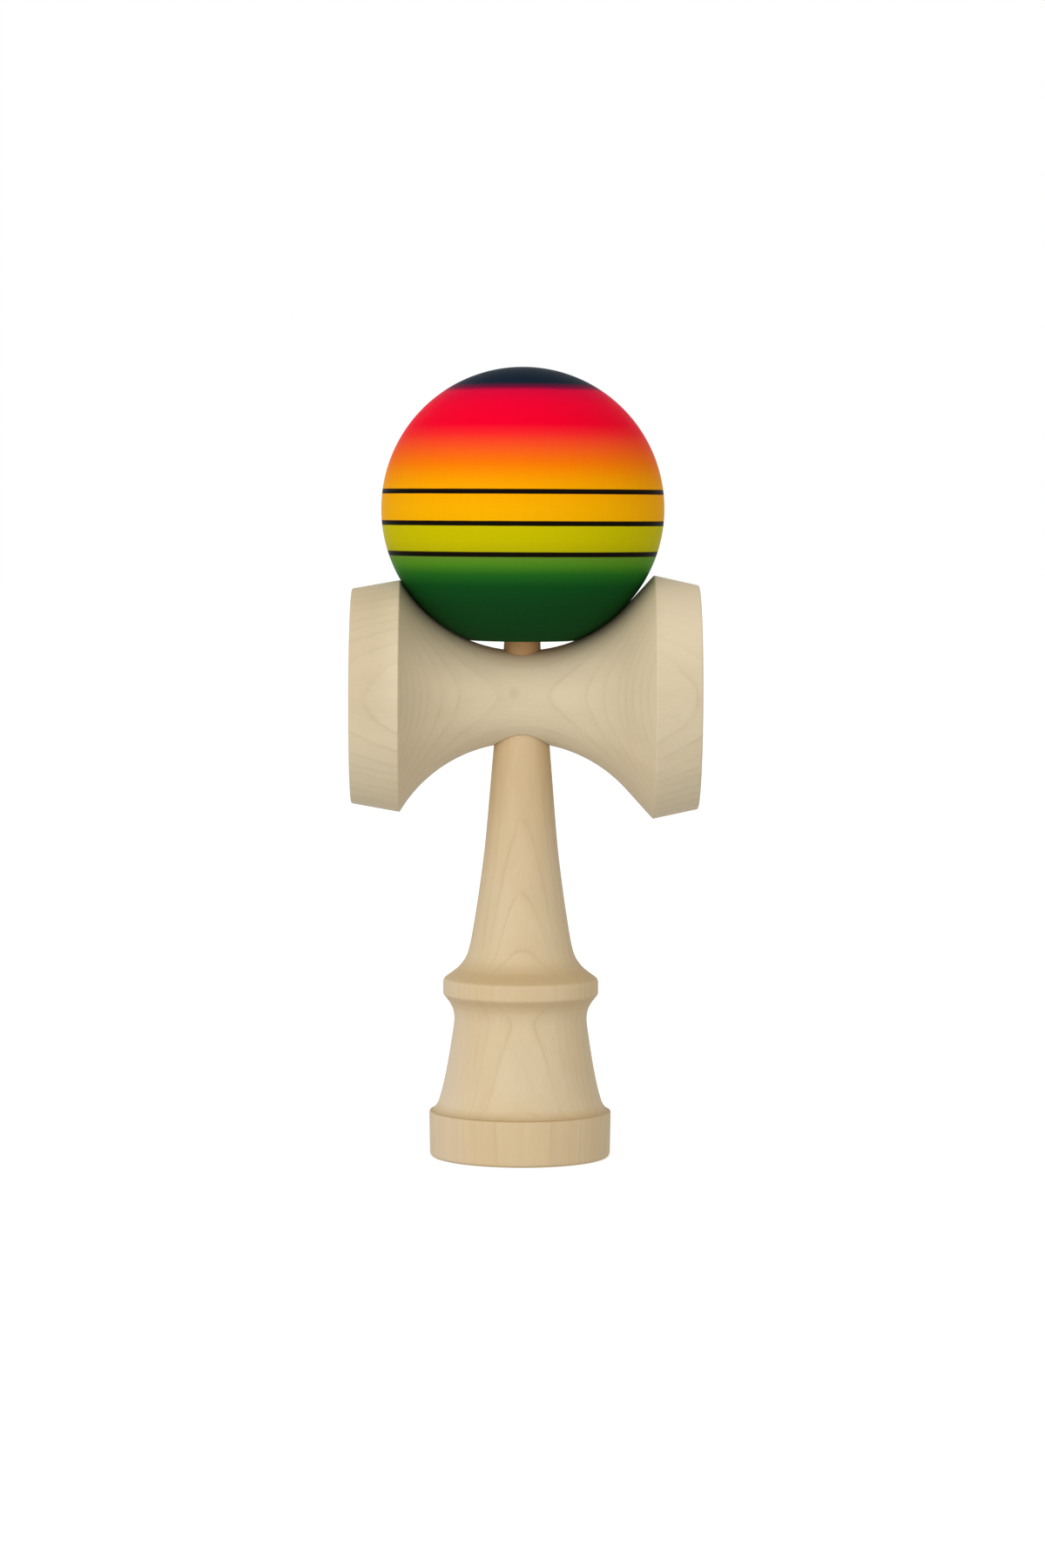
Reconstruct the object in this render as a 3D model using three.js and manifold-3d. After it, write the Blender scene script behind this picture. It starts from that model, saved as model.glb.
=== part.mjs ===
// A kendama, the wooden cup-and-ball skill toy. A turned handle (the ken) stands on its
// hollow base cup. A crosspiece with a big and a small cup (the sarado) is jammed on the
// handle's taper. A painted ball (the tama) rests in the crosspiece's saddle with its bore
// over the handle's spike, and holds the bead that its string would be tied to.
//
// Millimetres, +Z up along the handle, +X towards the big cup. The origin is the centre
// of the base cup's rim, the plane that the toy stands on.

import * as THREE from 'three';
import { mergeVertices } from 'three/addons/utils/BufferGeometryUtils.js';
import Module from 'manifold-3d';

// ---- Driving dimensions ------------------------------------------------------------

// Ball
const BALL_R = 30;
const BALL_MOUTH_R = 11; // edge of the flat that the bore opens in
const BORE_R = 10.2;
const BORE_BEVEL = 0.8;
const BORE_WALL_DEPTH = 43; // mouth to the start of the drill point
const DRILL_POINT_HALF_ANGLE = THREE.MathUtils.degToRad(59);

// Crosspiece
const SADDLE_GAP = 0.1; // between the ball and the crosspiece it rests in
const SARADO_Z = 98.1; // height of the cups' common axis
const WAIST_R = 9.7;
const BIG_CUP = { crestX: 27.9, rimX: 37.5, rimR: 23.75, hollowR: 22.2, depth: 11 };
const SMALL_CUP = { crestX: 25.9, rimX: 36.2, rimR: 22.8, hollowR: 21.2, depth: 10 };
const FLANK_STRAIGHT_X = 22.2; // where the big cup's flank leaves the saddle's curve

// Handle
const BASE_CUP = { hollowR: 16.9, depth: 7 };
const FOOT_R = 18.5;
const BASE_BAND_R = 19.4;
const BASE_BAND_TOP = 9.2;
const RING_R = 16.55;
const RING_BOTTOM = 34.9;
const RING_TOP = 37.2;
const JAM_BOTTOM = { r: 5.87, z: 88.6 }; // the taper that the crosspiece jams on
const JAM_TOP = { r: 3.98, z: 107.1 };
const SPIKE_SHOULDER = { r: 2.3, z: 147.8 };
const SPIKE_TIP_Z = 149.6;
const TAPER_GAP = 0.25;

// String holes and bead
const STRING_HOLE_R = 1.5;
const HANDLE_HOLE_R = 1.3;
const BEAD_R = 4;
const BEAD_HOLE_R = 1.25;
const BEAD_GAP = 0.3;

// Facets of turned surfaces, and of the small cross holes
const FACETS = 48;
const BEAD_FACETS = 24;
const HOLE_FACETS = 16;

// Worked out from the above
const SADDLE_R = BALL_R + SADDLE_GAP;
const BALL_Z = SARADO_Z + WAIST_R + SADDLE_R;
const MOUTH_DROP = Math.sqrt(BALL_R ** 2 - BALL_MOUTH_R ** 2); // ball centre to its flat
const DRILL_START = BORE_WALL_DEPTH - MOUTH_DROP; // above the ball's centre
const DRILL_APEX = DRILL_START + BORE_R / Math.tan(DRILL_POINT_HALF_ANGLE);
const BEAD_Z = BALL_Z + DRILL_APEX - (BEAD_R + BEAD_GAP) / Math.sin(DRILL_POINT_HALF_ANGLE);

// ---- Outlines: [radius, distance along the axis] points -----------------------------

// Points on a circle round (0 or r, z), angles measured from the radius direction.
function arc(centreR, centreZ, radius, fromAngle, toAngle, steps) {
  const points = [];
  for (let i = 0; i <= steps; i += 1) {
    const angle = fromAngle + ((toAngle - fromAngle) * i) / steps;
    points.push([centreR + radius * Math.cos(angle), centreZ + radius * Math.sin(angle)]);
  }
  return points;
}

// A rounded corner: a quadratic curve from one point to another, bent towards a third.
function rounded(from, corner, to, steps) {
  const curve = new THREE.QuadraticBezierCurve(
    new THREE.Vector2(...from),
    new THREE.Vector2(...corner),
    new THREE.Vector2(...to),
  );
  return curve.getPoints(steps).map((point) => point.toArray());
}

// A smooth curve through hand-set turning stations.
function turnedCurve(stations, steps) {
  const curve = new THREE.SplineCurve(stations.map((station) => new THREE.Vector2(...station)));
  return curve.getPoints(steps).map((point) => point.toArray());
}

// A shallow spherical hollow, from its deepest point on the axis out to its rim.
// inward is the direction along the axis, +1 or -1, that the hollow goes in from the rim.
function hollow({ hollowR, depth }, rimAt, inward, steps) {
  const radius = (hollowR ** 2 + depth ** 2) / (2 * depth);
  const centre = rimAt + inward * (depth - radius);
  const rimAngle = inward * Math.asin((radius - depth) / radius);
  const points = arc(0, centre, radius, (inward * Math.PI) / 2, rimAngle, steps);
  points[0][0] = 0;
  return points;
}

function handleOutline() {
  const flare = [
    [17.5, 11.4], [16.7, 14.2], [15.65, 19.1], [14.6, 25.4], [14.13, 29.2], [14.45, 31.5],
    [15.3, 33.1], [16.2, 34.2],
  ];
  const shaft = [
    [14.7, 39.25], [13.3, 40.4], [11.9, 42.2], [10.95, 44.9], [10.1, 49.2], [9.06, 56],
    [7.9, 65], [7.16, 72.8],
  ];
  return [
    ...hollow(BASE_CUP, 0, 1, 8),
    ...rounded([FOOT_R, 0], [19.2, 0.2], [BASE_BAND_R - 0.1, 1.6], 3),
    ...rounded([BASE_BAND_R, BASE_BAND_TOP - 0.6], [BASE_BAND_R, BASE_BAND_TOP + 0.2],
      [18.6, 9.8], 3),
    [18.15, 10.1],
    ...turnedCurve(flare, 14),
    ...rounded([RING_R - 0.05, RING_BOTTOM - 0.3], [RING_R, RING_BOTTOM],
      [RING_R, RING_BOTTOM + 0.5], 2),
    ...rounded([RING_R, RING_TOP], [RING_R, 37.8], [16.1, 38.15], 3),
    ...turnedCurve(shaft, 16),
    [JAM_BOTTOM.r, JAM_BOTTOM.z],
    [JAM_TOP.r, JAM_TOP.z],
    ...rounded([SPIKE_SHOULDER.r, SPIKE_SHOULDER.z], [SPIKE_SHOULDER.r - 0.1, SPIKE_TIP_Z],
      [0, SPIKE_TIP_Z], 4),
  ];
}

// Radius of the saddle's curve at a distance along the crosspiece from its middle.
function saddleRadius(x) {
  return WAIST_R + SADDLE_R - Math.sqrt(SADDLE_R ** 2 - x ** 2);
}

// The flank of the big cup, straight from where it leaves the saddle's curve.
function bigCrestRadius() {
  const slope = FLANK_STRAIGHT_X / Math.sqrt(SADDLE_R ** 2 - FLANK_STRAIGHT_X ** 2);
  return saddleRadius(FLANK_STRAIGHT_X) + slope * (BIG_CUP.crestX - FLANK_STRAIGHT_X);
}

function crosspieceOutline() {
  const saddleCentre = WAIST_R + SADDLE_R;
  const smallCrestAngle = Math.PI + Math.asin(SMALL_CUP.crestX / SADDLE_R);
  const bigFlankAngle = Math.PI - Math.asin(FLANK_STRAIGHT_X / SADDLE_R);
  return [
    ...hollow(SMALL_CUP, -SMALL_CUP.rimX, 1, 8),
    [SMALL_CUP.rimR, -SMALL_CUP.rimX],
    ...arc(saddleCentre, 0, SADDLE_R, smallCrestAngle, bigFlankAngle, 22),
    [bigCrestRadius(), BIG_CUP.crestX],
    [BIG_CUP.rimR, BIG_CUP.rimX],
    ...hollow(BIG_CUP, BIG_CUP.rimX, -1, 8).reverse(),
  ];
}

function ballOutline() {
  const mouthAngle = -Math.acos(BALL_MOUTH_R / BALL_R);
  const topAngle = Math.acos(STRING_HOLE_R / BALL_R);
  const coneTop = DRILL_APEX - STRING_HOLE_R / Math.tan(DRILL_POINT_HALF_ANGLE);
  const outline = [
    ...arc(0, 0, BALL_R, mouthAngle, topAngle, 22),
    [STRING_HOLE_R, coneTop],
    [BORE_R, DRILL_START],
    [BORE_R, BORE_BEVEL - MOUTH_DROP],
  ];
  return [...outline, outline[0]];
}

function beadOutline() {
  const endAngle = Math.acos(BEAD_HOLE_R / BEAD_R);
  const outline = arc(0, 0, BEAD_R, -endAngle, endAngle, 8);
  return [...outline, outline[0]];
}

// ---- Solids ----------------------------------------------------------------------

const wasm = await Module();
wasm.setup();

// Merges shared corners and drops the empty triangles that a lathe leaves on its axis.
function welded(geometry) {
  geometry.deleteAttribute('normal');
  geometry.deleteAttribute('uv');
  const merged = mergeVertices(geometry, 1e-4);
  const corners = merged.index.array;
  const kept = [];
  for (let i = 0; i < corners.length; i += 3) {
    const [a, b, c] = corners.slice(i, i + 3);
    if (a !== b && b !== c && c !== a) kept.push(a, b, c);
  }
  merged.setIndex(kept);
  return merged;
}

function solidOf(geometry) {
  return new wasm.Manifold(new wasm.Mesh({
    numProp: 3,
    vertProperties: geometry.attributes.position.array,
    triVerts: Uint32Array.from(geometry.index.array),
  }));
}

function geometryOf(solid) {
  const mesh = solid.getMesh();
  const geometry = new THREE.BufferGeometry();
  geometry.setAttribute('position', new THREE.BufferAttribute(mesh.vertProperties, 3));
  geometry.setIndex(new THREE.BufferAttribute(mesh.triVerts, 1));
  return geometry;
}

// Turns an outline about +Z.
function turned(outline, facets) {
  const points = outline.map((point) => new THREE.Vector2(...point));
  return welded(new THREE.LatheGeometry(points, facets)).rotateX(Math.PI / 2);
}

// A round cutter along Y, from startY to endY.
function holeAlongY(radius, startY, endY) {
  const geometry = new THREE.CylinderGeometry(radius, radius, endY - startY, HOLE_FACETS);
  return welded(geometry).translate(0, (startY + endY) / 2, 0);
}

// The handle, with a hole through it for the string at the crosspiece's height.
function handleGeometry() {
  const hole = holeAlongY(HANDLE_HOLE_R, -JAM_BOTTOM.r, JAM_BOTTOM.r).translate(0, 0, SARADO_Z);
  return geometryOf(solidOf(turned(handleOutline(), FACETS)).subtract(solidOf(hole)));
}

// The crosspiece about its own middle, bored to the handle's taper, with the string's hole
// in its back.
function crosspieceGeometry() {
  const taper = (JAM_BOTTOM.r - JAM_TOP.r) / (JAM_TOP.z - JAM_BOTTOM.z);
  const reach = WAIST_R + 3;
  const middleR = JAM_BOTTOM.r - taper * (SARADO_Z - JAM_BOTTOM.z) + TAPER_GAP;
  const bore = turned([
    [0, -reach], [middleR + taper * reach, -reach], [middleR - taper * reach, reach], [0, reach],
  ], FACETS);
  const blank = turned(crosspieceOutline(), FACETS).rotateY(Math.PI / 2);
  const hole = holeAlongY(STRING_HOLE_R, 0, reach);
  return geometryOf(solidOf(blank).subtract(solidOf(bore)).subtract(solidOf(hole)));
}

// ---- Scene -----------------------------------------------------------------------

const handleMaple = new THREE.MeshStandardMaterial({
  color: 0xd8c29a, roughness: 0.6, metalness: 0,
});
const crosspieceMaple = new THREE.MeshStandardMaterial({
  color: 0xd6c5a4, roughness: 0.6, metalness: 0,
});
const bandedPaint = new THREE.MeshStandardMaterial({
  color: 0xf39a12, roughness: 0.35, metalness: 0,
});
const beadWood = new THREE.MeshStandardMaterial({
  color: 0xb98a55, roughness: 0.5, metalness: 0,
});

function placed(name, geometry, material, z) {
  const mesh = new THREE.Mesh(geometry, material);
  mesh.name = name;
  mesh.position.z = z;
  return mesh;
}

const kendama = new THREE.Group();
kendama.add(placed('ken_handle', handleGeometry(), handleMaple, 0));
kendama.add(placed('sarado_crosspiece', crosspieceGeometry(), crosspieceMaple, SARADO_Z));
kendama.add(placed('tama_ball', turned(ballOutline(), FACETS), bandedPaint, BALL_Z));
kendama.add(placed('string_bead', turned(beadOutline(), BEAD_FACETS), beadWood, BEAD_Z));

export default kendama;
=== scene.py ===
"""A kendama standing on its base cup, with its ball on the spike.

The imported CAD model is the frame: it says where each piece is and how big. Here every piece
is turned again as a fine surface with eased edges, and gets its bare maple or its paint.
Outlines and patterns are in millimetres, in a piece's own frame, and become metres when a
mesh is made. The studio and the camera are in metres.
"""

import math

import bmesh
import bpy
from mathutils import Matrix, Vector


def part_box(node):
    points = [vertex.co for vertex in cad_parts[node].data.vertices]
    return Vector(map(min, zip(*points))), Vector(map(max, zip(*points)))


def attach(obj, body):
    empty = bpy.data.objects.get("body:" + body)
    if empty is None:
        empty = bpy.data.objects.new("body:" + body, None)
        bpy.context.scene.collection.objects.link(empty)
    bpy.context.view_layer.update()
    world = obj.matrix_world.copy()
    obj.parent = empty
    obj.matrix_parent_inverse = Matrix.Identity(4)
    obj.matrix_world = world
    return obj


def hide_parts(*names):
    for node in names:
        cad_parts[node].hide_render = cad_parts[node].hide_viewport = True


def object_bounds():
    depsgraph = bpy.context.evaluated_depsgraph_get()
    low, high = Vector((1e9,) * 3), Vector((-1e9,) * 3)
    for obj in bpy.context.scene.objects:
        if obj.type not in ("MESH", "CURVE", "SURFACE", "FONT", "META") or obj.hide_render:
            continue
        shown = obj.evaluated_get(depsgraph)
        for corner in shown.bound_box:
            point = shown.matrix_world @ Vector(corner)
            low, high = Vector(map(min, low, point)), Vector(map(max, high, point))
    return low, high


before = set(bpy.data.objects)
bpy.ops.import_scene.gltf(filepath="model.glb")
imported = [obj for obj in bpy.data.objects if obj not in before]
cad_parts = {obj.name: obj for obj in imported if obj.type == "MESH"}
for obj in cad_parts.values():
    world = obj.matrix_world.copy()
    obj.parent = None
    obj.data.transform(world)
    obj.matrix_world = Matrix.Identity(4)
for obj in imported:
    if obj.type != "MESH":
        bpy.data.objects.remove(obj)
cad_low, cad_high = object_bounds()

# ---- Sizes, in millimetres ---------------------------------------------------------------

MM = 0.001


def box_mm(node):
    """A CAD node's lowest and highest corners, in millimetres."""
    low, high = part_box(node)
    return low / MM, high / MM


handle_low, handle_high = box_mm("ken_handle")
cross_low, cross_high = box_mm("sarado_crosspiece")
ball_low, ball_high = box_mm("tama_ball")
bead_low, bead_high = box_mm("string_bead")

# The ball: a flat mouth with a bevelled bore that ends in a drill point.
BALL_R = 30.0
MOUTH_R = 11.0
BORE_R = 10.2
BORE_BEVEL = 0.8
BORE_WALL_DEPTH = 43.0
DRILL_POINT_HALF_ANGLE = math.radians(59)
STRING_HOLE_R = 1.5
MOUTH_DROP = math.sqrt(BALL_R**2 - MOUTH_R**2)
BALL_Z = ball_low.z + MOUTH_DROP
DRILL_START = BORE_WALL_DEPTH - MOUTH_DROP
DRILL_APEX = DRILL_START + BORE_R / math.tan(DRILL_POINT_HALF_ANGLE)

# The crosspiece: its saddle is concentric with the ball, which all but touches it.
CROSS_Z = (cross_low.z + cross_high.z) / 2
SADDLE_R = BALL_R + 0.02
WAIST_R = BALL_Z - CROSS_Z - SADDLE_R
SMALL_CUP = {"crest": 25.9, "rim": -cross_low.x, "rim_r": 22.8, "hollow_r": 21.2, "depth": 10}
BIG_CUP = {"crest": 27.9, "rim": cross_high.x, "rim_r": 23.75, "hollow_r": 22.2, "depth": 11}
FLANK_STRAIGHT = 22.2  # where the big cup's flank leaves the saddle's curve

# The handle.
BASE_CUP = {"rim": 0.0, "hollow_r": 16.9, "depth": 7}
BASE_BAND_R = handle_high.x
BASE_BAND_TOP = 9.75
CREASE = (18.65, 9.85)  # radius and height of the fine crease over the base band
RING_R = 16.55
JAM_BOTTOM = (5.87, 88.6)
JAM_TOP = (3.98, 107.1)
SPIKE_SHOULDER = (2.3, 147.8)
SPIKE_TIP = handle_high.z
TAPER_GAP = 0.25  # between the handle's taper and the crosspiece's bore
HANDLE_HOLE_R = 1.3
BORE_OVERRUN = 5  # how far the bore's cutter passes the taper at each end
HOLE_OVERRUN = 3  # how far the string hole's cutter passes the crosspiece's back

# The bead.
BEAD_Z = (bead_low.z + bead_high.z) / 2
BEAD_R = 4.0
BEAD_HOLE_R = 1.25

SIDES = 192  # round every turned surface
SMALL_SIDES = 48  # round the bead and the small holes
SHARP_ANGLE = math.radians(35)  # an edge that bends more than this isn't shaded smooth

# ---- Outlines: points of radius and distance along the turning axis ------------------------

MOST_TRIM = 0.49  # the most of a step that a rounding may take
ROUNDING_STEPS = 6


def arc(centre, radius, start, end, steps):
    """Points on a circle, its angles measured from the radius direction."""
    angles = [start + (end - start) * i / steps for i in range(steps + 1)]
    return [
        (centre[0] + radius * math.cos(a), centre[1] + radius * math.sin(a)) for a in angles
    ]


def smooth_curve(stations, steps):
    """A curve through given turning stations, with even steps between each two."""
    points = [Vector(s) for s in stations]
    points = [points[0], *points, points[-1]]
    curve = []
    for i in range(1, len(points) - 2):
        before, a, b, after = points[i - 1 : i + 3]
        leave, arrive = (b - before) / 2, (after - a) / 2
        for k in range(steps):
            t = k / steps
            curve.append(
                (2 * t**3 - 3 * t**2 + 1) * a
                + (t**3 - 2 * t**2 + t) * leave
                + (3 * t**2 - 2 * t**3) * b
                + (t**3 - t**2) * arrive
            )
    return [tuple(p) for p in [*curve, points[-1]]]


def hollow(cup, inward, steps=40):
    """A cup's spherical hollow, from its deepest point on the axis out to its rim.
    inward is the direction, +1 or -1, that the hollow goes in from the rim."""
    radius = (cup["hollow_r"] ** 2 + cup["depth"] ** 2) / (2 * cup["depth"])
    rim = -inward * cup["rim"]
    centre = (0.0, rim + inward * (cup["depth"] - radius))
    rim_angle = math.asin((radius - cup["depth"]) / radius)
    points = arc(centre, radius, inward * math.pi / 2, inward * rim_angle, steps)
    return [(0.0, points[0][1]), *points[1:]]


def trimmed(stretch, distance):
    """A stretch of outline with that much cut off its start. The step that the cut falls in
    keeps at least half its length, so that two cuts never cross."""
    points = [Vector(p) for p in stretch]
    while len(points) > 2 and (points[1] - points[0]).length <= distance:
        distance -= (points[1] - points[0]).length
        points.pop(0)
    step = points[1] - points[0]
    points[0] = points[0] + step * min(distance / step.length, MOST_TRIM)
    return [tuple(p) for p in points]


def joined(*stretches):
    """One outline from stretches that meet end to start. A number between two stretches
    rounds the corner there, by a curve that starts and ends that far from it."""
    outline = list(stretches[0])
    for rounding, stretch in zip(stretches[1::2], stretches[2::2]):
        corner = Vector(stretch[0])
        if rounding:
            outline = trimmed(outline[::-1], rounding)[::-1]
            stretch = trimmed(stretch, rounding)
            a, b = Vector(outline[-1]), Vector(stretch[0])
            for i in range(1, ROUNDING_STEPS):
                t = i / ROUNDING_STEPS
                bent = (1 - t) ** 2 * a + 2 * t * (1 - t) * corner + t**2 * b
                outline.append(tuple(bent))
            outline.extend(stretch)
        else:
            outline.extend(stretch[1:])
    return outline


def handle_outline():
    """The handle, from the middle of its base cup to the tip of its spike."""
    flare = [
        (17.55, 11.3), (16.65, 14.4), (15.65, 19.1), (14.65, 25.2), (14.14, 29.2),
        (14.42, 31.4), (15.2, 33.0), (16.2, 34.3),
    ]
    shaft = [
        (14.7, 39.25), (13.2, 40.5), (11.75, 42.5), (10.85, 45.2), (10.05, 49.6), (9.06, 56),
        (7.9, 64.9), (7.16, 72.8),
    ]
    foot = (BASE_BAND_R - 0.2, 0)
    band_top = (BASE_BAND_R, BASE_BAND_TOP)
    ring_low, ring_high = (RING_R, 34.75), (RING_R, 37.9)
    tip_edge, tip = (2.25, SPIKE_TIP), (0.0, SPIKE_TIP)
    return joined(
        hollow(BASE_CUP, 1),
        0.35,
        [(BASE_CUP["hollow_r"], 0.0), foot],
        0.9,
        [foot, band_top],
        0.55,
        [band_top, CREASE],
        0.15,
        [CREASE, flare[0]],
        0.6,
        smooth_curve(flare, 10),
        0.3,
        [flare[-1], ring_low],
        0.35,
        [ring_low, ring_high],
        0.7,
        [ring_high, shaft[0]],
        0.5,
        smooth_curve(shaft, 12),
        2,
        [shaft[-1], JAM_BOTTOM],
        2,
        [JAM_BOTTOM, JAM_TOP],
        2,
        [JAM_TOP, SPIKE_SHOULDER, tip_edge],
        1.6,
        [tip_edge, tip],
    )


def saddle_radius(x):
    """The crosspiece's radius under the ball, that far from its middle."""
    return WAIST_R + SADDLE_R - math.sqrt(SADDLE_R**2 - x**2)


def crosspiece_outline():
    """The crosspiece, from the middle of its small cup to the middle of its big cup."""
    slope = FLANK_STRAIGHT / math.sqrt(SADDLE_R**2 - FLANK_STRAIGHT**2)
    rise = slope * (BIG_CUP["crest"] - FLANK_STRAIGHT)
    big_crest = (saddle_radius(FLANK_STRAIGHT) + rise, BIG_CUP["crest"])
    small_crest = (saddle_radius(SMALL_CUP["crest"]), -SMALL_CUP["crest"])
    small_rim = (SMALL_CUP["rim_r"], -SMALL_CUP["rim"])
    big_rim = (BIG_CUP["rim_r"], BIG_CUP["rim"])
    small_angle = math.pi + math.asin(SMALL_CUP["crest"] / SADDLE_R)
    straight_angle = math.pi - math.asin(FLANK_STRAIGHT / SADDLE_R)
    saddle = arc((WAIST_R + SADDLE_R, 0), SADDLE_R, small_angle, straight_angle, 90)
    return joined(
        hollow(SMALL_CUP, 1),
        0.4,
        [(SMALL_CUP["hollow_r"], small_rim[1]), small_rim],
        0.4,
        [small_rim, small_crest],
        0.3,
        saddle,
        0,
        [saddle[-1], big_crest],
        0.3,
        [big_crest, big_rim],
        0.4,
        [big_rim, (BIG_CUP["hollow_r"], big_rim[1])],
        0.4,
        hollow(BIG_CUP, -1)[::-1],
    )


def ball_outline():
    """The ball with its bore and its string hole, round and back to its start."""
    mouth_angle = -math.acos(MOUTH_R / BALL_R)
    top_angle = math.acos(STRING_HOLE_R / BALL_R)
    outside = arc((0, 0), BALL_R, mouth_angle, top_angle, 150)
    cone_top = (STRING_HOLE_R, DRILL_APEX - STRING_HOLE_R / math.tan(DRILL_POINT_HALF_ANGLE))
    bore_top = (BORE_R, DRILL_START)
    bore_mouth = (BORE_R, BORE_BEVEL - MOUTH_DROP)
    return joined(
        [bore_mouth, outside[0]],
        0.25,
        outside,
        0.35,
        [outside[-1], cone_top],
        0.3,
        [cone_top, bore_top],
        0.6,
        [bore_top, bore_mouth],
    )


def bead_outline():
    """The bead with its string hole, round and back to its start. The hole is a little
    rounded where it meets the outside."""
    end_angle = math.acos(BEAD_HOLE_R / BEAD_R)
    outside = arc((0, 0), BEAD_R, -end_angle, end_angle, 40)
    return joined(
        outside,
        0.3,
        [outside[-1], (BEAD_HOLE_R, 0.0), outside[0]],
    )


# ---- Meshes --------------------------------------------------------------------------------


def turned(name, outline, centre_z=0.0, along="Z", sides=SIDES):
    """Turns an outline about the Z axis, or about the X axis at centre_z. An outline that
    doesn't start and end on the axis closes on itself."""
    mesh = bpy.data.meshes.new(name)
    work = bmesh.new()
    rings = []
    for radius, reach in outline:
        count = sides if radius > 1e-6 else 1
        ring = []
        for i in range(count):
            angle = 2 * math.pi * i / count
            across = (radius * math.cos(angle), radius * math.sin(angle))
            point = (*across, reach) if along == "Z" else (reach, *across)
            ring.append(work.verts.new((Vector(point) + Vector((0, 0, centre_z))) * MM))
        rings.append(ring)
    if len(rings[0]) > 1:
        rings.append(rings[0])
    for low, high in zip(rings, rings[1:]):
        for i in range(sides):
            corners = [
                low[i % len(low)],
                low[(i + 1) % len(low)],
                high[(i + 1) % len(high)],
                high[i % len(high)],
            ]
            work.faces.new(list(dict.fromkeys(corners)))
    bmesh.ops.remove_doubles(work, verts=work.verts, dist=1e-7)
    bmesh.ops.recalc_face_normals(work, faces=work.faces)
    work.to_mesh(mesh)
    work.free()
    piece = bpy.data.objects.new(name, mesh)
    bpy.context.scene.collection.objects.link(piece)
    return piece


def cut(piece, cutter):
    """Cuts one piece with another, which is used up."""
    modifier = piece.modifiers.new("cut", "BOOLEAN")
    modifier.operation = "DIFFERENCE"
    modifier.solver = "EXACT"
    modifier.object = cutter
    bpy.context.view_layer.update()
    shown = piece.evaluated_get(bpy.context.evaluated_depsgraph_get())
    mesh = bpy.data.meshes.new_from_object(shown)
    piece.modifiers.clear()
    old = piece.data
    piece.data = mesh
    bpy.data.meshes.remove(old)
    bpy.data.objects.remove(cutter)


def round_hole(radius, start_y, end_y, z):
    """A round cutter along Y at that height, on the turning axis."""
    outline = [(0.0, start_y), (radius, start_y), (radius, end_y), (0.0, end_y)]
    cutter = turned("hole", outline, sides=SMALL_SIDES)
    cutter.data.transform(Matrix.Rotation(-math.pi / 2, 4, "X"))
    cutter.data.transform(Matrix.Translation((0, 0, z * MM)))
    return cutter


def finished(piece, body, node, material):
    """Shades a piece, gives it its material, and sets it in the frame."""
    piece.data.shade_smooth()
    piece.data.set_sharp_from_angle(angle=SHARP_ANGLE)
    piece.data.materials.clear()
    piece.data.materials.append(material)
    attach(piece, body)
    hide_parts(node)


# ---- Materials -----------------------------------------------------------------------------


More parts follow.
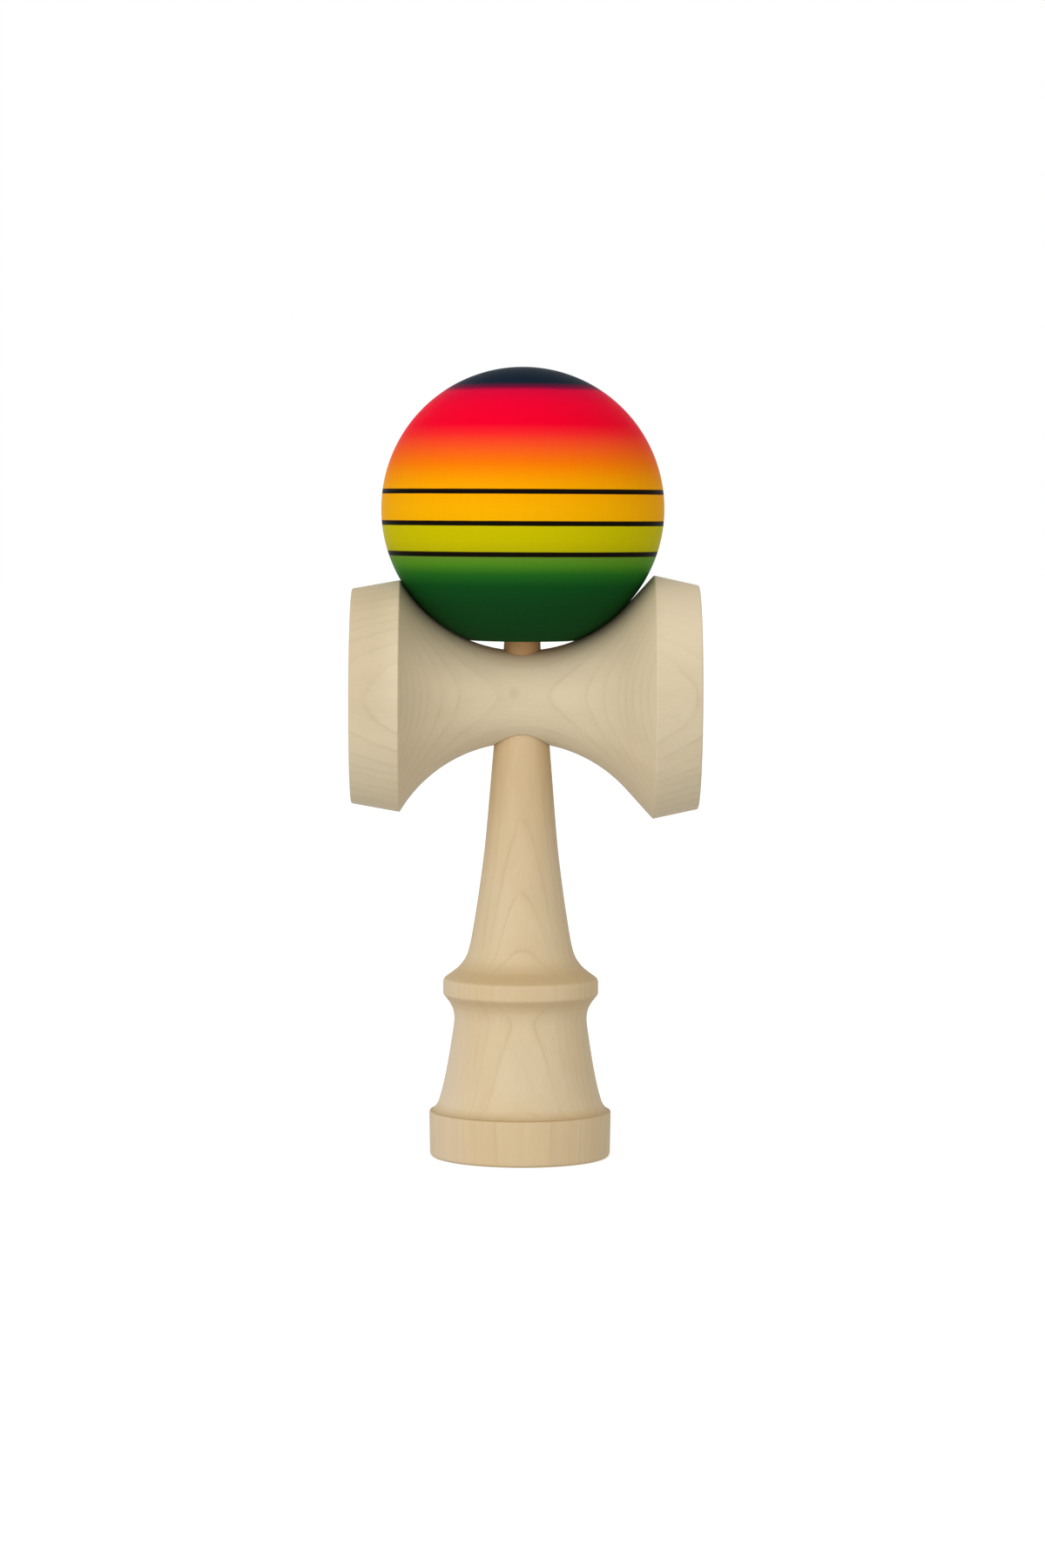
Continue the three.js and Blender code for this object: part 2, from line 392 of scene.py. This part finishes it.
class Shader:
    """Short spellings for building a material's nodes."""

    def __init__(self, name):
        self.material = bpy.data.materials.new(name)
        self.material.use_nodes = True
        self.tree = self.material.node_tree
        self.surface = self.tree.nodes["Principled BSDF"]

    def node(self, kind, inputs=(), **settings):
        made = self.tree.nodes.new(kind)
        for key, value in settings.items():
            setattr(made, key, value)
        for socket, value in dict(inputs).items():
            self.feed(made.inputs[socket], value)
        return made

    def feed(self, socket, value):
        if isinstance(value, bpy.types.NodeSocket):
            self.tree.links.new(value, socket)
        else:
            socket.default_value = value

    def math(self, operation, *values):
        return self.node("ShaderNodeMath", dict(enumerate(values)), operation=operation).outputs[0]

    def scaled(self, vector, scales):
        inputs = {0: vector, 1: scales}
        return self.node("ShaderNodeVectorMath", inputs, operation="MULTIPLY").outputs[0]

    def noise(self, vector, detail=2.0, roughness=0.5, centred=True):
        """Soft noise with lumps about one unit long, from -1 to 1, or not centred from 0 to 1."""
        inputs = {"Vector": vector, "Scale": 1.0, "Detail": detail, "Roughness": roughness}
        value = self.node("ShaderNodeTexNoise", inputs).outputs["Fac"]
        return self.math("MULTIPLY_ADD", value, 2.0, -1.0) if centred else value

    def lumps(self, place, across, along, **settings):
        """Soft noise with lumps of about that size, in millimetres: across a place's first two
        directions, and along its third."""
        return self.noise(self.scaled(place, (1 / across, 1 / across, 1 / along)), **settings)

    def between(self, value, low, high, low_to=0.0, high_to=1.0):
        """A value that goes smoothly from low_to to high_to between two limits."""
        inputs = {"Value": value, 1: low, 2: high, 3: low_to, 4: high_to}
        made = self.node("ShaderNodeMapRange", inputs, interpolation_type="SMOOTHSTEP")
        return made.outputs["Result"]

    def mixed(self, share, a, b, blend="MIX"):
        made = self.node("ShaderNodeMix", data_type="RGBA", blend_type=blend)
        for socket, value in ((0, share), (6, a), (7, b)):
            self.feed(made.inputs[socket], value)
        return made.outputs[2]

    def ramp(self, value, stops):
        made = self.node("ShaderNodeValToRGB", {"Fac": value})
        elements = made.color_ramp.elements
        while len(elements) < len(stops):
            elements.new(0.5)
        for element, (place, colour) in zip(elements, sorted(stops)):
            element.position = place
            element.color = colour
        return made.outputs["Color"]

    def curve(self, value, points):
        """A value read off a smooth curve through given points, over their range."""
        low, high = points[0][0], points[-1][0]
        place = self.math("DIVIDE", self.math("SUBTRACT", value, low), high - low)
        made = self.node("ShaderNodeFloatCurve", {"Value": place})
        top = max(y for _, y in points)
        line = made.mapping.curves[0]
        places = [((x - low) / (high - low), y / top) for x, y in points]
        line.points[0].location = places[0]
        line.points[1].location = places[-1]
        for spot in places[1:-1]:
            line.points.new(*spot)
        made.mapping.update()
        return self.math("MULTIPLY", made.outputs[0], top)

    def place(self, origin_z=0.0):
        """Where a point lies in its piece, in millimetres from the given height."""
        objects = self.node("ShaderNodeTexCoord").outputs["Object"]
        away = self.node(
            "ShaderNodeVectorMath", {0: objects, 1: (0, 0, origin_z * MM)}, operation="SUBTRACT"
        ).outputs[0]
        return self.scaled(away, (1 / MM,) * 3)

    def distance(self, a, b):
        return self.node("ShaderNodeVectorMath", {0: a, 1: b}, operation="DISTANCE").outputs["Value"]

    def split(self, vector):
        return self.node("ShaderNodeSeparateXYZ", {0: vector}).outputs

    def gathered(self, x, y, z):
        return self.node("ShaderNodeCombineXYZ", {0: x, 1: y, 2: z}).outputs[0]


def colour(red, green, blue):
    """A colour picked as it looks on a screen, 0 to 255, as the light that it reflects."""
    shown = [c / 255 for c in (red, green, blue)]
    return (*[c / 12.92 if c <= 0.04045 else ((c + 0.055) / 1.055) ** 2.4 for c in shown], 1.0)


RELIEF = 0.00003  # metres, the height of the fine relief on wood and paint

# Maple. Each piece mixes three tones.
HANDLE_TONES = (colour(215, 191, 150), colour(214, 194, 158), colour(215, 188, 156))
CROSS_TONES = (colour(221, 204, 169), colour(214, 198, 166), colour(220, 200, 162))
BORE_TONES = (colour(214, 194, 158), colour(215, 191, 150), colour(215, 188, 156))
RING_BROWN = colour(170, 140, 96)
FLECK_BROWN = colour(168, 138, 100)
WOOD_SPECULAR = 0.2

# The handle is paler on its left, a painted light where the key lamp falls. It is gold at its
# foot and ring, and most up its shaft towards the crosspiece, where the gold is partly painted
# warm reflected light; ochre where the fibres end; darker in the crease, a painted shade; and
# brown on the spike over the crosspiece, a painted shadow with warm reflected light from the ball.
PAINTED_LIGHT_LEFT = colour(228, 212, 190)
GOLD_CREAM_AND_BOUNCE = colour(207, 176, 128)
GOLD_AND_BOUNCE_BY_HEIGHT = [
    (0, 0.35), (8, 0.35), (13, 0.05), (28, 0), (34, 0.3), (39, 0.3), (44, 0.05), (62, 0.1),
    (90, 0.55), (170, 0.55),
]
OCHRE_END = colour(178, 148, 96)
CREASE_SHADE_BROWN = colour(150, 120, 78)
SPIKE_SHADE_BROWN = colour(204, 146, 82)

# The crosspiece is greyer where the fibres end, and darker on top of the small cup's band, a
# painted shade; on top of the big cup's band it is palest, a painted light. Left of its middle
# the rings hardly show.
GREY_END_AND_SHADE = colour(186, 164, 130)
PAINTED_LIGHT_CREAM = colour(229, 211, 179)
PLAIN_X = -4.6  # the middle of the stretch where the rings hardly show
PIN_KNOT = (-1.7, -9.6, 1.2)  # from the crosspiece's middle

BEECH_TONES = (colour(190, 150, 104), colour(196, 158, 112), colour(186, 142, 98))


def add_maple(shader, along, front, across, rings, tones, boldness=0.24):
    """Gives a shader bare maple: pale, with thin growth rings in layers behind the front.
    along, front and across are a point's places in millimetres: along the fibres, towards
    the front, and across both. rings pairs depths with ring counts, tones are the wood's
    three colours, and boldness is how far the rings' thin dark lines hide them. Returns the
    colour and the fibres' pattern."""
    grain = shader.gathered(across, front, along)
    sway = shader.lumps(grain, 16, 50, detail=1.0)
    waver = shader.lumps(grain, 3, 9)
    depth = shader.math("MULTIPLY_ADD", sway, 0.5, front)
    depth = shader.math("MULTIPLY_ADD", waver, 0.2, depth)

    # Within each ring the wood darkens slowly, and a thin line that comes and goes ends it.
    phase = shader.math("FRACT", shader.curve(depth, rings))
    beside = shader.math("ABSOLUTE", shader.math("MULTIPLY_ADD", phase, 2.0, -1.0))
    late = shader.math("POWER", beside, 12.0)
    body = shader.math("POWER", phase, 3.0)
    strength = shader.lumps(grain, 6, 16, centred=False)
    line = shader.math("MULTIPLY", late, shader.between(strength, 0.38, 0.64, 0.15, 1.0))
    ring_share = shader.math("MULTIPLY_ADD", line, boldness, shader.math("MULTIPLY", body, 0.08))

    blotches = shader.lumps(grain, 11, 26, detail=3.0)
    blush = shader.lumps(grain, 5, 15)
    wood = shader.mixed(shader.between(blotches, -0.5, 0.5), tones[0], tones[1])
    wood = shader.mixed(shader.between(blush, 0.05, 0.6, 0.0, 0.6), wood, tones[2])
    wood = shader.mixed(ring_share, wood, RING_BROWN)

    fibres = shader.lumps(grain, 1 / 2.4, 7, detail=5.0, roughness=0.6)
    shade = shader.math("MULTIPLY_ADD", fibres, 0.06, 1.0)
    shade = shader.math("MULTIPLY_ADD", blotches, 0.05, shade)
    shade = shader.math("MULTIPLY_ADD", blush, -0.05, shade)
    wood = shader.mixed(1.0, wood, shader.gathered(shade, shade, shade), "MULTIPLY")
    flecks = shader.lumps(grain, 1 / 5.5, 1.3, detail=1.0)
    fleck_share = shader.between(flecks, 0.42, 0.62, 0.0, 0.3)
    return shader.mixed(fleck_share, wood, FLECK_BROWN), fibres


def end_grain(shader, wood, fibre_direction, tone, most):
    """Darkens wood where its surface cuts across the fibres, by most at the end grain."""
    normal = shader.node("ShaderNodeTexCoord").outputs["Normal"]
    facing = shader.node(
        "ShaderNodeVectorMath", {0: normal, 1: fibre_direction}, operation="DOT_PRODUCT"
    ).outputs["Value"]
    share = shader.between(shader.math("ABSOLUTE", facing), 0.3, 1.0, 0.0, most)
    return shader.mixed(share, wood, tone)


def set_surface(shader, tone, roughness, relief, relief_strength, specular):
    """Sets a surface's colour, its sheen and its fine relief."""
    inputs = {"Height": relief, "Strength": relief_strength, "Distance": RELIEF}
    bump = shader.node("ShaderNodeBump", inputs)
    shader.feed(shader.surface.inputs["Base Color"], tone)
    shader.feed(shader.surface.inputs["Roughness"], roughness)
    shader.feed(shader.surface.inputs["Normal"], bump.outputs[0])
    shader.surface.inputs["Specular IOR Level"].default_value = specular


def finish_wood(shader, wood, fibres, turning_place):
    """Finishes bare wood: matt, with the relief of its fibres and of the turning tool, whose
    marks go round the piece, about three to the millimetre."""
    tool_place = shader.gathered(0.0, 0.0, shader.math("MULTIPLY", turning_place, 3.0))
    relief = shader.math("MULTIPLY_ADD", shader.noise(tool_place), 0.4, fibres)
    roughness = shader.math("MULTIPLY_ADD", fibres, 0.07, 0.56)
    set_surface(shader, wood, roughness, relief, 0.35, WOOD_SPECULAR)


def handle_maple():
    """Fibres run up the handle, so the flared turning cuts the ring layers in arches. The
    layers curve forward at both sides, and lean a little."""
    shader = Shader("handle_maple")
    x, y, z = shader.split(shader.place())
    front = shader.math("MULTIPLY", y, -1.0)
    bowed = shader.math("MULTIPLY", shader.math("MULTIPLY", x, x), -0.028)
    layer = shader.math("ADD", shader.math("MULTIPLY_ADD", x, 0.05, front), bowed)
    rings = [
        (-34, 0), (-12, 4), (-4, 6), (2.2, 8), (7.0, 10), (8.9, 11), (10.9, 12), (14.0, 13),
        (17.6, 14), (24, 16),
    ]
    wood, fibres = add_maple(shader, z, layer, x, rings, HANDLE_TONES)
    # Painted light: paler on the left side, where the key lamp falls.
    wood = shader.mixed(shader.between(x, -18, -8, 0.55, 0.0), wood, PAINTED_LIGHT_LEFT)
    # Gold by height: the wood's tone at the foot and ring, and towards the crosspiece partly painted
    # warm reflected light.
    gold_and_bounce = shader.curve(z, GOLD_AND_BOUNCE_BY_HEIGHT)
    streaks = shader.noise(shader.gathered(x, y, shader.math("MULTIPLY", z, 0.06)), detail=3.0)
    gold_and_bounce = shader.math("MULTIPLY_ADD", shader.math("MULTIPLY", gold_and_bounce, streaks), 0.7, gold_and_bounce)
    wood = shader.mixed(gold_and_bounce, wood, GOLD_CREAM_AND_BOUNCE)
    # Painted shadow and warm reflected light brown the spike where it leaves the crosspiece, under
    # the ball.
    wood = shader.mixed(shader.between(z, JAM_TOP[1] - 3, JAM_TOP[1], 0.0, 0.6), wood, SPIKE_SHADE_BROWN)
    wood = end_grain(shader, wood, (0, 0, 1), OCHRE_END, 0.55)
    # Painted shade darkens the crease over the base band.
    near_crease = shader.math("ABSOLUTE", shader.math("SUBTRACT", z, CREASE[1] + 0.15))
    crease_shade = shader.between(near_crease, 0.1, 0.8, 0.18, 0.0)
    wood = shader.mixed(crease_shade, wood, CREASE_SHADE_BROWN)
    finish_wood(shader, wood, fibres, z)
    return shader.material


def crosspiece_maple():
    """Fibres run from cup to cup, so the bands and flanks show nested curves. The layers lean
    a little, along it and up it. There is a pin knot at the front of the waist."""
    shader = Shader("crosspiece_maple")
    place = shader.place(CROSS_Z)
    x, y, z = shader.split(place)
    front = shader.math("MULTIPLY", y, -1.0)
    tilted = shader.math("MULTIPLY_ADD", x, -0.0143, front)
    layer = shader.math("MULTIPLY_ADD", z, 0.03, tilted)
    rings = [
        (-34, 0), (-20, 4), (-10, 7), (-2, 9), (4, 11), (7.6, 12), (10.3, 13), (13, 14),
        (15.1, 15), (17.4, 16), (18.8, 17), (20.3, 18), (22.1, 19), (23.75, 20), (34, 24),
    ]
    from_plain = shader.math("ABSOLUTE", shader.math("SUBTRACT", x, PLAIN_X))
    boldness = shader.between(from_plain, 5, 8.5, 0.03, 0.22)
    wood, fibres = add_maple(shader, x, layer, z, rings, CROSS_TONES, boldness)
    wood = end_grain(shader, wood, (1, 0, 0), GREY_END_AND_SHADE, 0.25)
    # Painted shade darkens the top of the small cup's band.
    small_band_top_shade = shader.math(
        "MULTIPLY", shader.between(x, -32, -25, 1.0, 0.0), shader.between(z, -14, 6)
    )
    wood = shader.mixed(shader.math("MULTIPLY", small_band_top_shade, 0.35), wood, GREY_END_AND_SHADE)
    # Painted light makes the top of the big cup's band palest.
    big_band_top_light = shader.math("MULTIPLY", shader.between(x, 24, 31), shader.between(z, 2, 18))
    wood = shader.mixed(shader.math("MULTIPLY", big_band_top_light, 0.7), wood, PAINTED_LIGHT_CREAM)
    knot = shader.math("MULTIPLY_ADD", fibres, 0.2, shader.distance(place, PIN_KNOT))
    wood = shader.mixed(shader.between(knot, 0.4, 1.7, 0.16, 0.0), wood, FLECK_BROWN)
    finish_wood(shader, wood, fibres, x)
    return shader.material


# The ball's colours by height over its centre, and its thin black rings.
BALL_COLOURS = [
    (30.0, colour(12, 29, 44)),
    (26.3, colour(12, 30, 46)),
    (25.3, colour(118, 12, 56)),
    (24.6, colour(220, 4, 58)),
    (22.0, colour(241, 0, 46)),
    (17.5, colour(245, 0, 41)),
    (15.5, colour(246, 40, 41)),
    (12.9, colour(246, 83, 31)),
    (9.7, colour(247, 117, 6)),
    (7.0, colour(248, 147, 0)),
    (4.5, colour(248, 165, 0)),
    (0.0, colour(248, 176, 0)),
    (-2.9, colour(247, 176, 0)),
    (-3.1, colour(202, 190, 2)),
    (-6.5, colour(200, 188, 0)),
    (-8.8, colour(188, 179, 6)),
    (-9.4, colour(104, 142, 44)),
    (-11.5, colour(78, 137, 30)),
    (-13.5, colour(36, 105, 30)),
    # From here down the green darkens towards the bottom, painted shade where the crosspiece shades
    # the ball.
    (-16.0, colour(19, 78, 29)),
    (-20.0, colour(20, 70, 28)),
    (-30.0, colour(22, 66, 29)),
]
BLACK_RINGS = (3.62, -2.98, -9.4)
BLACK_RING_WIDTH = 1.05
BLACK_INK = colour(20, 14, 10)
PAINT_EDGE = (0.75, 0.6)  # how far under the ball's surface the paint is gone, and starts to go
PAINT_SPECULAR = 0.006


def banded_paint():
    """Satin paint sprayed in bands over wood. The bore is bare."""
    shader = Shader("banded_paint")
    place = shader.place(BALL_Z)
    x, y, z = shader.split(place)
    drift = shader.lumps(place, 9, 9)
    sprayed = shader.math("MULTIPLY_ADD", drift, 0.12, z)
    height = shader.math("DIVIDE", shader.math("ADD", sprayed, BALL_R), 2 * BALL_R)
    stops = [((level + BALL_R) / (2 * BALL_R), tone) for level, tone in BALL_COLOURS]
    paint = shader.ramp(height, stops)
    wander = shader.lumps(place, 4, 4, detail=3.0)
    for level in BLACK_RINGS:
        off = shader.math("ABSOLUTE", shader.math("SUBTRACT", z, level))
        off = shader.math("MULTIPLY_ADD", wander, 0.03, off)
        inside = shader.between(off, BLACK_RING_WIDTH * 0.38, BLACK_RING_WIDTH * 0.62, 1.0, 0.0)
        paint = shader.mixed(inside, paint, BLACK_INK)

    grain = shader.lumps(place, 1.2, 16, detail=4.0)
    peel = shader.lumps(place, 1 / 1.6, 1 / 1.6)
    rubs = shader.lumps(place, 6, 3, detail=5.0, roughness=0.7)
    shade = shader.math("MULTIPLY_ADD", grain, 0.025, 1.0)
    paint = shader.mixed(1.0, paint, shader.gathered(shade, shade, shade), "MULTIPLY")

    front = shader.math("MULTIPLY", y, -1.0)
    rings = [(-31, 0), (-15, 6), (0, 12), (15, 18), (31, 24)]
    wood, fibres = add_maple(shader, z, front, x, rings, BORE_TONES)
    away = shader.node("ShaderNodeVectorMath", {0: place}, operation="LENGTH").outputs["Value"]
    edge = shader.math("MULTIPLY_ADD", wander, 0.12, away)
    painted = shader.between(edge, BALL_R - PAINT_EDGE[0], BALL_R - PAINT_EDGE[1])

    bare = shader.math("SUBTRACT", 1.0, painted)
    satin = shader.math("MULTIPLY_ADD", rubs, 0.05, 0.4)
    roughness = shader.math("MULTIPLY_ADD", bare, 0.16, satin)
    relief = shader.math("MULTIPLY_ADD", peel, 0.35, grain)
    relief = shader.math("MULTIPLY_ADD", shader.math("MULTIPLY", fibres, bare), 1.5, relief)
    tone = shader.mixed(painted, wood, paint)
    set_surface(shader, tone, roughness, relief, 0.25, PAINT_SPECULAR)
    return shader.material


def bead_wood():
    """Plain turned beech."""
    shader = Shader("bead_wood")
    x, y, z = shader.split(shader.place(BEAD_Z))
    rings = [(-5, 0), (0, 4), (5, 8)]
    wood, fibres = add_maple(shader, z, y, x, rings, BEECH_TONES)
    finish_wood(shader, wood, fibres, z)
    return shader.material


# ---- Pieces --------------------------------------------------------------------------------

handle = turned("handle", handle_outline())
cut(handle, round_hole(HANDLE_HOLE_R, -JAM_BOTTOM[0], JAM_BOTTOM[0], CROSS_Z))
finished(handle, "handle", "ken_handle", handle_maple())

crosspiece = turned("crosspiece", crosspiece_outline(), CROSS_Z, along="X")
taper = (JAM_BOTTOM[0] - JAM_TOP[0]) / (JAM_TOP[1] - JAM_BOTTOM[1])
bore_low = (JAM_BOTTOM[0] + TAPER_GAP + BORE_OVERRUN * taper, JAM_BOTTOM[1] - BORE_OVERRUN)
bore_high = (JAM_TOP[0] + TAPER_GAP - BORE_OVERRUN * taper, JAM_TOP[1] + BORE_OVERRUN)
cut(crosspiece, turned("bore", [(0.0, bore_low[1]), bore_low, bore_high, (0.0, bore_high[1])]))
cut(crosspiece, round_hole(STRING_HOLE_R, 0.0, WAIST_R + HOLE_OVERRUN, CROSS_Z))
finished(crosspiece, "crosspiece", "sarado_crosspiece", crosspiece_maple())

ball = turned("ball", ball_outline(), BALL_Z)
finished(ball, "ball", "tama_ball", banded_paint())

bead = turned("bead", bead_outline(), BEAD_Z, sides=SMALL_SIDES)
finished(bead, "bead", "string_bead", bead_wood())

# ---- Studio --------------------------------------------------------------------------------

FLOOR_R = 7.0
FLOOR_GAP = 0.00005  # under the base cup's rim, so that the two faces stay apart
BACKDROP_R = 8.0
KEY_PLACE = Vector((-0.78, -1.11, 0.72))
KEY_AIM = Vector((0, 0, 0.09))
KEY_SIZE = 0.8
KEY_POWER = 5.2  # watts
SKY_MEAN = 0.565  # the sky's brightness, averaged over all directions
SKY_SLOPE = (0.06, 0.4, 0.15)  # how much brighter it is at the left, the front and the top


def plain_white(name, albedo, glow):
    """A matt white that reflects and gives off that much light."""
    shader = Shader(name)
    speckle = shader.lumps(shader.place(), 40, 40, detail=3.0)
    shade = shader.math("MULTIPLY_ADD", speckle, 0.01, albedo)
    shader.feed(shader.surface.inputs["Base Color"], shader.gathered(shade, shade, shade))
    shader.surface.inputs["Roughness"].default_value = 0.9
    shader.surface.inputs["Specular IOR Level"].default_value = 0.0
    shader.surface.inputs["Emission Color"].default_value = (1, 1, 1, 1)
    shader.surface.inputs["Emission Strength"].default_value = glow
    return shader.material


def stage(name, work, material, unseen_by):
    """Makes part of the set, and hides it from the kinds of ray that are named."""
    mesh = bpy.data.meshes.new(name)
    work.to_mesh(mesh)
    work.free()
    mesh.materials.append(material)
    part = bpy.data.objects.new(name, mesh)
    bpy.context.scene.collection.objects.link(part)
    for kind in unseen_by:
        setattr(part, "visible_" + kind, False)
    return part


floor_work = bmesh.new()
bmesh.ops.create_circle(floor_work, cap_ends=True, radius=FLOOR_R, segments=96)
floor = stage("floor", floor_work, plain_white("floor_white", 0.6, 0.7),
              ("diffuse", "glossy", "shadow"))
floor.location.z = cad_low.z - FLOOR_GAP

backdrop_work = bmesh.new()
bmesh.ops.create_uvsphere(backdrop_work, u_segments=64, v_segments=32, radius=BACKDROP_R)
stage("backdrop", backdrop_work, plain_white("backdrop_white", 0.0, 1.0),
      ("diffuse", "transmission", "volume_scatter", "shadow"))

key_light = bpy.data.lights.new("key", "AREA")
key_light.shape = "DISK"
key_light.size = KEY_SIZE
key_light.energy = KEY_POWER
key = bpy.data.objects.new("key", key_light)
bpy.context.scene.collection.objects.link(key)
key.location = KEY_PLACE
key.rotation_euler = (KEY_AIM - KEY_PLACE).to_track_quat("-Z", "Y").to_euler()


def add_sky():
    """A plain white sky, brighter in front and overhead, and dimmest behind."""
    world = bpy.data.worlds.new("studio")
    world.use_nodes = True
    tree = world.node_tree
    background = tree.nodes["Background"]
    towards = tree.nodes.new("ShaderNodeVectorMath")
    towards.operation = "DOT_PRODUCT"
    left, front, top = SKY_SLOPE
    towards.inputs[1].default_value = (-left, -front, top)
    level = tree.nodes.new("ShaderNodeMath")
    level.inputs[1].default_value = SKY_MEAN
    tree.links.new(tree.nodes.new("ShaderNodeTexCoord").outputs["Generated"], towards.inputs[0])
    tree.links.new(towards.outputs["Value"], level.inputs[0])
    tree.links.new(level.outputs[0], background.inputs["Strength"])
    background.inputs["Color"].default_value = (1, 1, 1, 1)
    bpy.context.scene.world = world


add_sky()
bpy.context.scene.view_settings.view_transform = "Standard"

# ---- Camera --------------------------------------------------------------------------------

CAMERA_PLACE = Vector((-0.0054, -0.95, 0.1383))
CAMERA_AIM = Vector((0.0002, 0.0, 0.0795))
CAMERA_ROLL = math.radians(0.27)
LENS = 102.74  # millimetres
SENSOR = 36.0  # millimetres, along the picture's long side

camera_data = bpy.data.cameras.new("camera")
camera_data.lens = LENS
camera_data.sensor_width = SENSOR
camera = bpy.data.objects.new("camera", camera_data)
bpy.context.scene.collection.objects.link(camera)
look = (CAMERA_AIM - CAMERA_PLACE).to_track_quat("-Z", "Y").to_matrix().to_4x4()
camera.matrix_world = (
    Matrix.Translation(CAMERA_PLACE) @ look @ Matrix.Rotation(CAMERA_ROLL, 4, "Z")
)
bpy.context.scene.camera = camera
